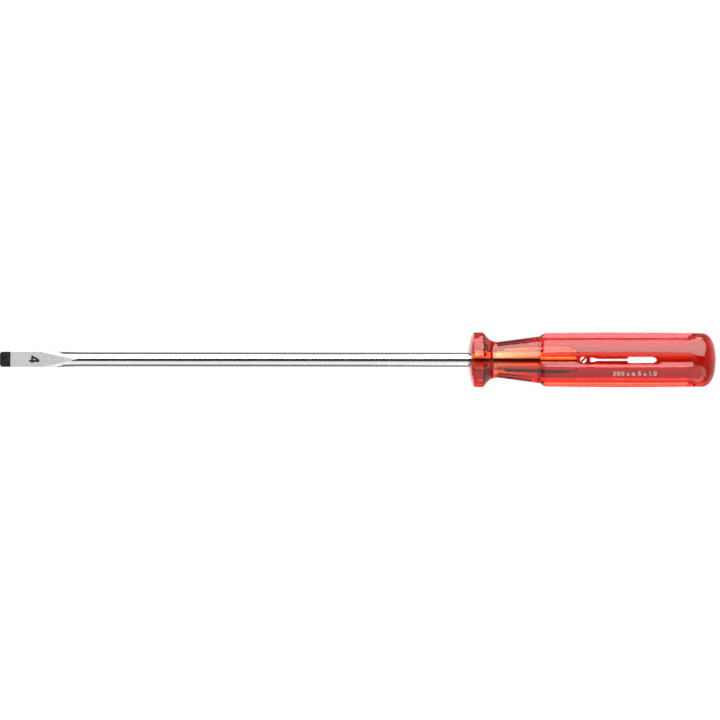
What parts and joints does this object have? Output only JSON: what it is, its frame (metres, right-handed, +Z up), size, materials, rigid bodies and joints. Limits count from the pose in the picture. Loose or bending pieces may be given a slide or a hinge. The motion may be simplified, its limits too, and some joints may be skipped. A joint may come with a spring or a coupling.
{
  "type": "slotted screwdriver",
  "caption": "Slotted screwdriver: long round chromed blade with a flat ground tip, in a transparent red, fluted six-sided moulded handle with an anti-roll collar.",
  "frame": {"origin": "on the resting surface, under the middle of the tool's length, with the tool lying on one flat of its handle", "axes": "+X along the tool from tip to handle, +Z up; the marked face of the blade looks 30 degrees forward of +Z, towards -Y"},
  "size_m": [0.3061, 0.0244, 0.0234],
  "materials": {
    "handle_plastic": "transparent red, polished",
    "blade_steel": "chrome plated, ground flats, blackened tip",
    "white_foil": "hot-stamped white foil",
    "black_ink": "black marking"
  },
  "bodies": {
    "root": {"handle": "handle_plastic", "blade": "blade_steel", "panel_foil": "white_foil", "size_foil": "white_foil", "blade_number": "black_ink"}
  },
  "joints": []
}
